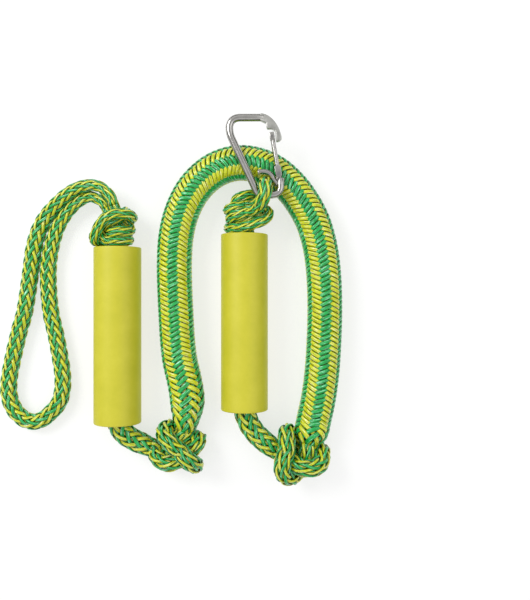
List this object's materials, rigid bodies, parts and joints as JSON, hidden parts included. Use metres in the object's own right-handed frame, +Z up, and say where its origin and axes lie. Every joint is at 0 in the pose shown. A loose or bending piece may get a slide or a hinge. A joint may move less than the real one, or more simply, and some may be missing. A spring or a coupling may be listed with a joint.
{
  "type": "tow rope handle",
  "caption": "Short elastic tow rope laid out flat, with a rope hand loop, foam float handles, knotted braid over an elastic core and a sprung snap hook.",
  "frame": {"origin": "on the surface that the part lies on, below the middle of the floats and the snap hook", "axes": "+X from the hand loop towards the snap hook's side, +Y along the floats towards the hand-loop and snap-hook ends, +Z up from the surface"},
  "size_m": [0.2966, 0.3116, 0.0489],
  "materials": {
    "foam": "matte",
    "braided_rope": "satin",
    "bungee_braid": "satin",
    "latex_core": "matte",
    "whipping_thread": "matte",
    "stainless_steel": "polished",
    "spring_steel": "satin"
  },
  "bodies": {
    "line": {"hand_loop_rope": "braided_rope", "upper_knot_1": "braided_rope", "float_1_rope": "braided_rope", "lower_rope_1": "braided_rope", "lower_knot_1": "braided_rope", "bungee_sleeve": "bungee_braid", "bungee_core": "latex_core", "core_whipping_1": "whipping_thread", "core_whipping_2": "whipping_thread", "lower_knot_2": "braided_rope", "lower_rope_2": "braided_rope", "float_2_rope": "braided_rope", "upper_knot_2": "braided_rope", "clip_eye_rope": "braided_rope"},
    "float_1": {"float_1": "foam"},
    "float_2": {"float_2": "foam"},
    "snap_hook": {"snap_body": "stainless_steel", "captive_bar": "stainless_steel", "gate_hinge_pin": "spring_steel"},
    "gate": {"gate": "stainless_steel", "gate_latch_pin": "spring_steel", "gate_spring": "spring_steel", "gate_plunger": "spring_steel"}
  },
  "joints": [
    {"name": "float_1_spin", "type": "hinge", "parent": "line", "child": "float_1", "pos_m": [-0.0611, 0.002, 0.02], "axis": [0, 1, 0], "continuous": true},
    {"name": "float_2_spin", "type": "hinge", "parent": "line", "child": "float_2", "pos_m": [0.0474, 0.002, 0.02], "axis": [0, 1, 0], "continuous": true},
    {"name": "snap_swing", "type": "hinge", "parent": "line", "child": "snap_hook", "pos_m": [0.0651, 0.0627, 0.0345], "axis": [1, 0, 0], "range_deg": [0, 90]},
    {"name": "gate_swing", "type": "hinge", "parent": "snap_hook", "child": "gate", "pos_m": [0.0764, 0.0796, 0.0345], "axis": [0, 0, 1], "range_deg": [0, 25], "stiffness_Nm_per_rad": 0.06, "springref_deg": -11.46}
  ]
}
